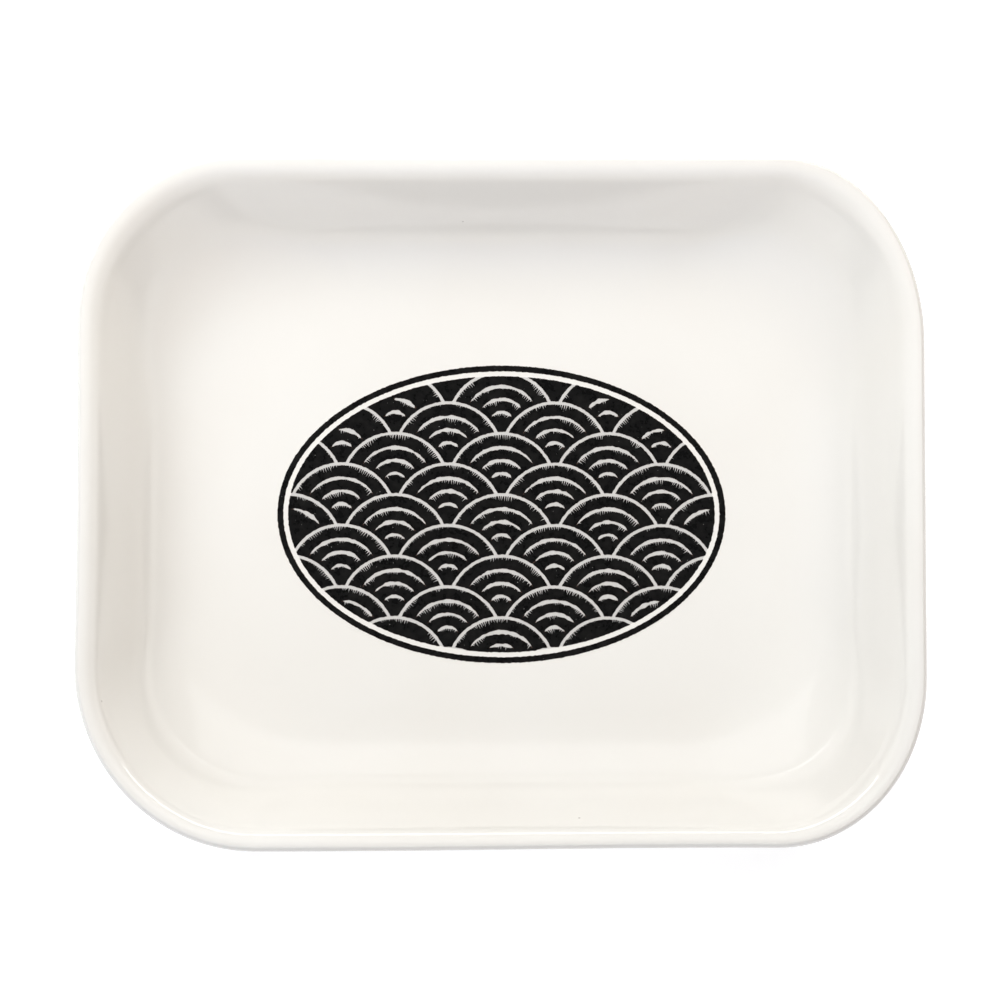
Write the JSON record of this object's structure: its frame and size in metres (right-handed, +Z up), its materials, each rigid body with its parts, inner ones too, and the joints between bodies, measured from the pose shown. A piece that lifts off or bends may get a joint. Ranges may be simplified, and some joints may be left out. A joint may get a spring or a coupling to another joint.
{
  "type": "sponge tray",
  "caption": "Shallow rounded-rectangle glazed ceramic tray with a rolled rim, coved walls and a foot ring, with a dark oval wave pattern fired onto its floor.",
  "frame": {"origin": "under the middle of the tray, on the plane that the foot ring stands on", "axes": "+X along the tray's length, to the right of the print; +Y across its width, away from the reader; +Z up"},
  "size_m": [0.14, 0.115, 0.025],
  "materials": {
    "glaze": "glossy warm-white glaze with fine dark specks; the foot's lowest face is bare, matt and slightly darker",
    "ink": "near-black enamel print fired into the glaze, satin gloss, with slightly ragged brownish edges"
  },
  "bodies": {
    "root": {"tray_body": "glaze", "print_border": "ink", "wave_1_1": "ink", "wave_1_2": "ink", "wave_1_3": "ink", "wave_2_1": "ink", "wave_2_2": "ink", "wave_2_3": "ink", "wave_2_4": "ink", "wave_3_1": "ink", "wave_3_2": "ink", "wave_3_3": "ink", "wave_3_4": "ink", "wave_3_5": "ink", "wave_4_1": "ink", "wave_4_2": "ink", "wave_4_3": "ink", "wave_4_4": "ink", "wave_5_1": "ink", "wave_5_2": "ink", "wave_5_3": "ink", "wave_5_4": "ink", "wave_5_5": "ink", "wave_6_1": "ink", "wave_6_2": "ink", "wave_6_3": "ink", "wave_6_4": "ink", "wave_7_1": "ink", "wave_7_2": "ink", "wave_7_3": "ink", "wave_7_4": "ink", "wave_7_5": "ink", "wave_8_1": "ink", "wave_8_2": "ink", "wave_8_3": "ink", "wave_8_4": "ink", "wave_9_1": "ink", "wave_9_2": "ink", "wave_9_3": "ink", "wave_10_1": "ink", "wave_10_2": "ink"}
  },
  "joints": []
}
